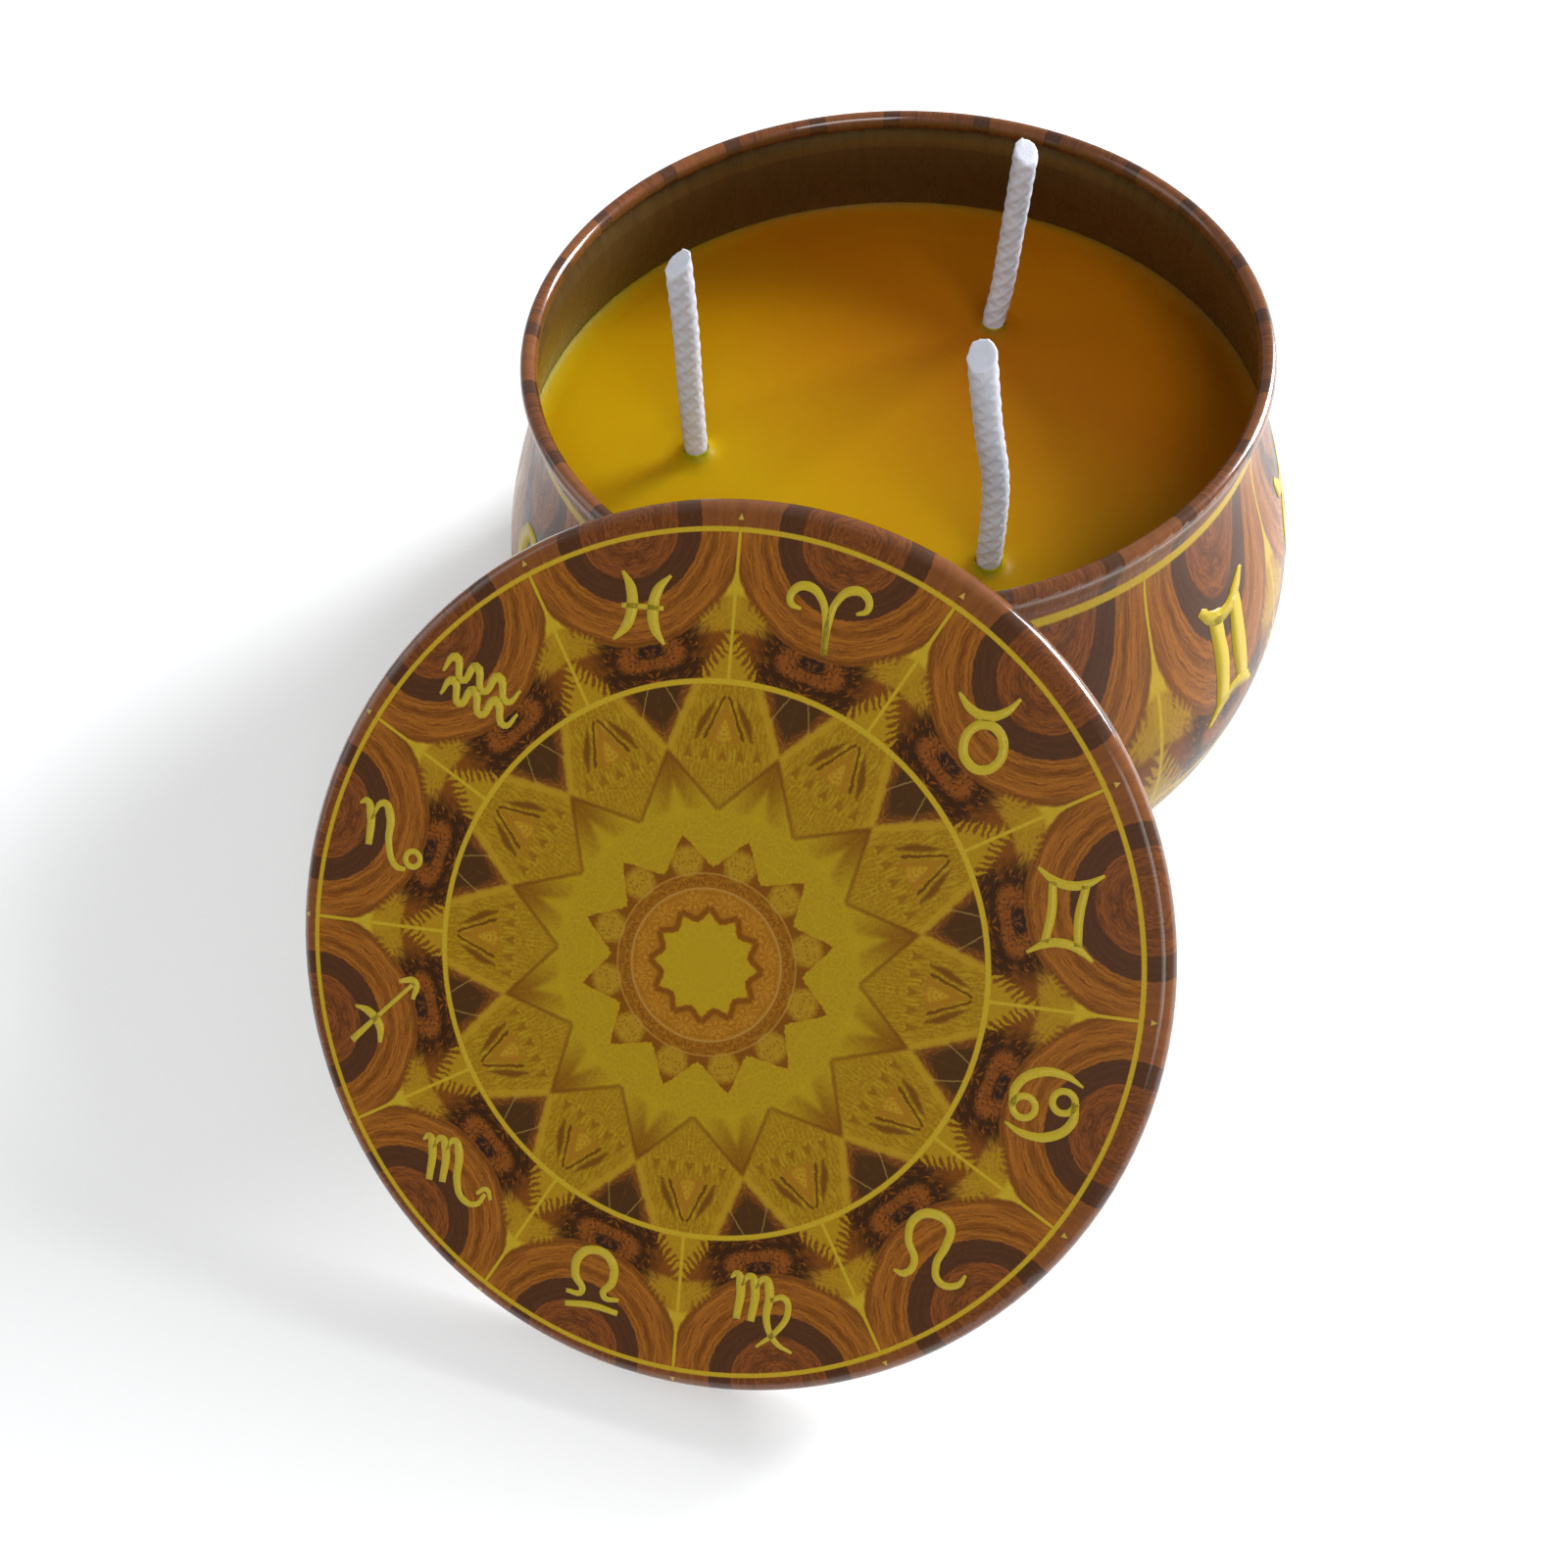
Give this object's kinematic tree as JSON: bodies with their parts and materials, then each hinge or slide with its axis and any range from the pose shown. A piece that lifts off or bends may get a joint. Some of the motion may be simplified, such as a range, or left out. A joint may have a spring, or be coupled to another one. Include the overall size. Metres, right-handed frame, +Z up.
{
  "type": "candle tin",
  "caption": "Bellied printed tin with poured wax, three upright wicks and a round slip lid leaning across its rim.",
  "frame": {"origin": "centre of the ring that the tin stands on, on the table", "axes": "+Z up along the tin's axis; -Y towards the viewer and the leaning lid; +X to the viewer's right"},
  "size_m": [0.1105, 0.1483, 0.0576],
  "materials": {
    "body_print": "lithographed tinplate, brown and yellow print under gloss varnish",
    "lid_print": "lithographed tinplate, brown and yellow print under satin gloss varnish",
    "wax": "smooth golden yellow wax with a soft sheen, slightly see-through",
    "wick_cotton": "white braided cotton dipped in wax",
    "tab_steel": "thin tin-plated steel",
    "sticker_foam": "white double-sided adhesive foam"
  },
  "bodies": {
    "tin": {"tin_body": "body_print", "wax_fill": "wax", "wick_left": "wick_cotton", "wick_front": "wick_cotton", "wick_back": "wick_cotton", "wick_tab_left": "tab_steel", "wick_tab_front": "tab_steel", "wick_tab_back": "tab_steel", "wick_sticker_left": "sticker_foam", "wick_sticker_front": "sticker_foam", "wick_sticker_back": "sticker_foam"},
    "lid": {"lid": "lid_print"}
  },
  "joints": [
    {"name": "lid_lift", "type": "slide", "parent": "tin", "child": "lid", "axis": [-0.1749, -0.5448, 0.8201], "range_m": [0, 0.06]}
  ]
}
